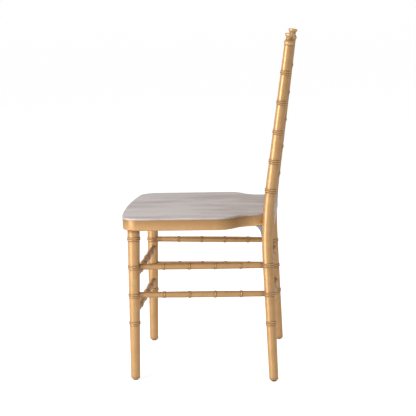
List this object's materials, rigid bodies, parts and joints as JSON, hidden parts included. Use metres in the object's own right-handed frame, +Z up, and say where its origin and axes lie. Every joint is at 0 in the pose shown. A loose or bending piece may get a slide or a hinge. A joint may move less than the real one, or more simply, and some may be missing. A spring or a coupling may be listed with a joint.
{
  "type": "chiavari chair",
  "caption": "Chiavari side chair: turned ring-banded wooden legs, stretchers and spindle back in metallic lacquer, with a bare flat board seat.",
  "frame": {"origin": "on the floor, in the middle plane, midway between the front edge of the seat and the back of the finials", "axes": "+Z up, -Y towards the front of the chair, +X towards the sitter's left"},
  "size_m": [0.4126, 0.4787, 0.9213],
  "materials": {
    "lacquered_wood": "gold metallic lacquer with a clear satin coat",
    "limed_wood": "bare limed wood with fine grain, matt",
    "bracket_steel": "zinc-plated pressed steel",
    "screw_steel": "zinc-plated",
    "glide_nylon": "dark moulded nylon"
  },
  "bodies": {
    "root": {"front_leg_left": "lacquered_wood", "front_leg_right": "lacquered_wood", "back_post_left": "lacquered_wood", "back_post_right": "lacquered_wood", "seat_rail_front": "lacquered_wood", "seat_rail_left": "lacquered_wood", "seat_rail_right": "lacquered_wood", "seat_rail_rear": "lacquered_wood", "seat_board": "limed_wood", "side_stretcher_upper_left": "lacquered_wood", "side_stretcher_lower_left": "lacquered_wood", "side_stretcher_upper_right": "lacquered_wood", "side_stretcher_lower_right": "lacquered_wood", "front_stretcher_upper": "lacquered_wood", "front_stretcher_lower": "lacquered_wood", "rear_stretcher_upper": "lacquered_wood", "rear_stretcher_lower": "lacquered_wood", "back_rail_lower": "lacquered_wood", "back_rail_middle": "lacquered_wood", "back_rail_crest": "lacquered_wood", "spindle_1": "lacquered_wood", "spindle_2": "lacquered_wood", "spindle_3": "lacquered_wood", "spindle_4": "lacquered_wood", "spindle_5": "lacquered_wood", "spindle_6": "lacquered_wood", "corner_bracket_left": "bracket_steel", "corner_bracket_right": "bracket_steel", "bracket_screws": "screw_steel", "glide_front_left": "glide_nylon", "glide_front_right": "glide_nylon", "glide_rear_left": "glide_nylon", "glide_rear_right": "glide_nylon"}
  },
  "joints": []
}
